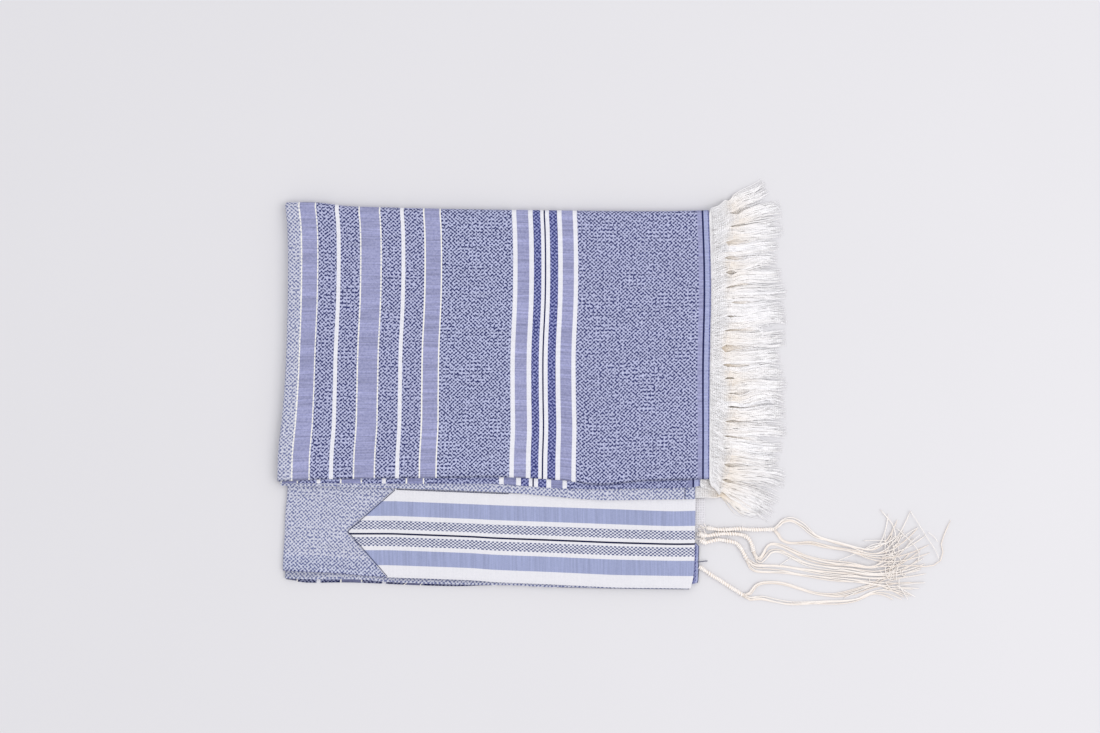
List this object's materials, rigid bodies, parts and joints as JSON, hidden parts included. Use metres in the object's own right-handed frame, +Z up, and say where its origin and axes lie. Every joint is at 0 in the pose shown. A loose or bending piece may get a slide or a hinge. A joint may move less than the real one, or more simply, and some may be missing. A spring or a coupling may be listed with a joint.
{
  "type": "folded prayer shawl",
  "caption": "Tallit prayer shawl of blue and white striped cloth, folded flat, with a woven neckband, a knotted fringe and long corner cords.",
  "frame": {"origin": "centre of the footprint, on the surface that the folded shawl lies on", "axes": "+X along the shawl towards its fringed ends, +Y from the neck edge to the cross fold, +Z up from the surface"},
  "size_m": [0.7212, 0.4546, 0.0124],
  "materials": {
    "blue_weave": "matt woven cloth, blue flecked with navy, with white and lavender stripes",
    "light_weave": "matt woven cloth, pale grey-blue crosshatch",
    "band_weave": "matt woven band, white, pale blue and navy stripes with a fine grey diamond pattern",
    "sheer_net": "sheer white net",
    "cotton_fringe": "matt off-white twisted cotton thread"
  },
  "bodies": {
    "root": {"end_panel_top": "blue_weave", "end_panel_second": "blue_weave", "body_third": "light_weave", "hidden_layers": "light_weave", "neck_panel": "light_weave", "end_panel_inner": "blue_weave", "end_panel_bottom": "blue_weave", "atara": "band_weave", "corner_patch": "sheer_net", "fringe_top": "cotton_fringe", "fringe_second": "cotton_fringe", "tzitzit_a": "cotton_fringe", "tzitzit_b": "cotton_fringe", "tzitzit_c": "cotton_fringe", "tzitzit_d": "cotton_fringe"}
  },
  "joints": []
}
